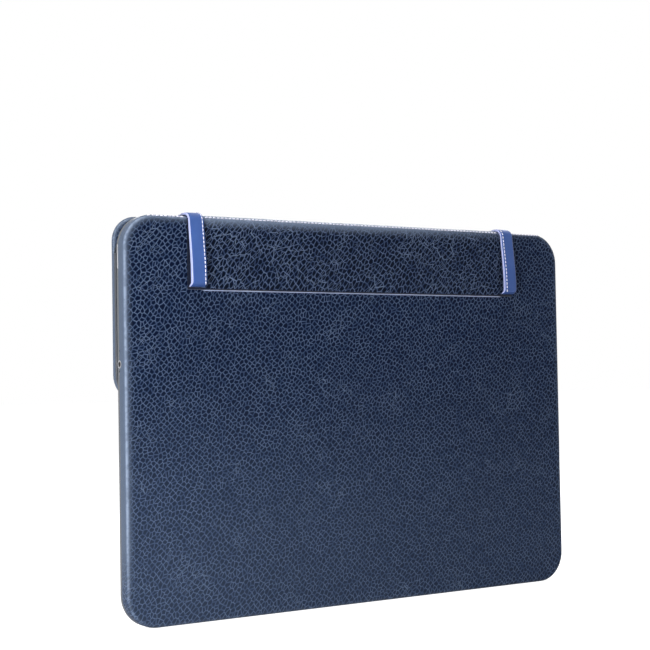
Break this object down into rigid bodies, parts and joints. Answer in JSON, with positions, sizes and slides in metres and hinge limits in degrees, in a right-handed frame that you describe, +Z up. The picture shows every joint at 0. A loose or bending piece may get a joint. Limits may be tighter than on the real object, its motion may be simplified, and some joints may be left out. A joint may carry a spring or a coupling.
{
  "type": "tablet keyboard case",
  "caption": "Pebbled leather tablet shell with a stand flap, side straps over the top edge and a half-height fold-out keyboard panel.",
  "frame": {"origin": "middle of the base that the case stands on", "axes": "+Z up, +X along the width, -Y out of the leather face"},
  "size_m": [0.247, 0.0168, 0.1778],
  "materials": {
    "navy_leather": "navy pebbled full grain, semi matte",
    "blue_leather": "smooth mid blue with painted edges",
    "grey_steel": "fine grey coat on thin steel",
    "microfibre": "dark tacky microfibre",
    "silver": "satin",
    "bright_steel": "bright drawn",
    "aluminium": "grey anodised",
    "deck_plastic": "fine matte",
    "key_plastic": "fine matte",
    "film": "clear film and green board",
    "dome_rubber": "translucent grey",
    "cell_wrap": "foil wrap",
    "light_lens": "clear"
  },
  "bodies": {
    "shell": {"shell_leather": "navy_leather", "shell_frame": "grey_steel", "grip_lining": "microfibre", "port_ring": "silver", "flap_wire": "bright_steel"},
    "side_button": {"side_button": "silver"},
    "flap": {"flap_board": "aluminium", "spine_rod": "bright_steel", "flap_leather": "navy_leather", "spine_leather": "navy_leather", "strap_front_left": "blue_leather", "strap_top_left": "blue_leather", "strap_front_right": "blue_leather", "strap_top_right": "blue_leather"},
    "keyboard": {"keyboard_leather": "navy_leather", "keyboard_base": "aluminium", "rear_leather": "navy_leather", "strap_rear_left": "blue_leather", "strap_rear_right": "blue_leather", "keyboard_deck": "deck_plastic", "keyboard_magnets": "bright_steel", "contact_film": "film", "dome_sheet": "dome_rubber", "power_cell_1": "cell_wrap", "power_cell_2": "cell_wrap", "circuit_board": "film", "status_light": "light_lens", "charge_socket": "bright_steel"},
    "key_row_1": {"key_row_1": "key_plastic"},
    "space_bar": {"space_bar": "key_plastic"},
    "key_row_2": {"key_row_2": "key_plastic"},
    "key_row_3": {"key_row_3": "key_plastic"},
    "key_row_4": {"key_row_4": "key_plastic"},
    "key_row_5": {"key_row_5": "key_plastic"},
    "pairing_button": {"pairing_button": "deck_plastic"},
    "power_switch": {"power_switch": "deck_plastic"}
  },
  "joints": [
    {"name": "flap_hinge", "type": "hinge", "parent": "shell", "child": "flap", "pos_m": [0, -0.00573, 0.145], "axis": [1, 0, 0], "range_deg": [0, 22.5]},
    {"name": "keyboard_hinge", "type": "hinge", "parent": "flap", "child": "keyboard", "pos_m": [0, 0.00135, 0.1761], "axis": [1, 0, 0], "range_deg": [0, 90], "deforming": ["spine_leather", "strap_top_left", "strap_top_right"]},
    {"name": "side_button_press", "type": "slide", "parent": "shell", "child": "side_button", "axis": [1, 0, 0], "range_m": [0, 0.0004], "stiffness_N_per_m": 1500},
    {"name": "space_bar_press", "type": "slide", "parent": "keyboard", "child": "space_bar", "axis": [0, 1, 0], "range_m": [0, 0.001], "stiffness_N_per_m": 600, "deforming": ["dome_sheet"]},
    {"name": "key_row_1_press", "type": "slide", "parent": "keyboard", "child": "key_row_1", "axis": [0, 1, 0], "range_m": [0, 0.001], "stiffness_N_per_m": 600},
    {"name": "key_row_2_press", "type": "slide", "parent": "keyboard", "child": "key_row_2", "axis": [0, 1, 0], "range_m": [0, 0.001], "stiffness_N_per_m": 600},
    {"name": "key_row_3_press", "type": "slide", "parent": "keyboard", "child": "key_row_3", "axis": [0, 1, 0], "range_m": [0, 0.001], "stiffness_N_per_m": 600},
    {"name": "key_row_4_press", "type": "slide", "parent": "keyboard", "child": "key_row_4", "axis": [0, 1, 0], "range_m": [0, 0.001], "stiffness_N_per_m": 600},
    {"name": "key_row_5_press", "type": "slide", "parent": "keyboard", "child": "key_row_5", "axis": [0, 1, 0], "range_m": [0, 0.001], "stiffness_N_per_m": 600},
    {"name": "pairing_press", "type": "slide", "parent": "keyboard", "child": "pairing_button", "axis": [0, 1, 0], "range_m": [0, 0.0004], "stiffness_N_per_m": 1500},
    {"name": "power_slide", "type": "slide", "parent": "keyboard", "child": "power_switch", "axis": [0, 0, 1], "range_m": [0, 0.002]}
  ],
  "couplings": [
    {"joint": "flap_hinge", "follows": "keyboard_hinge", "ratio": 0.25}
  ]
}
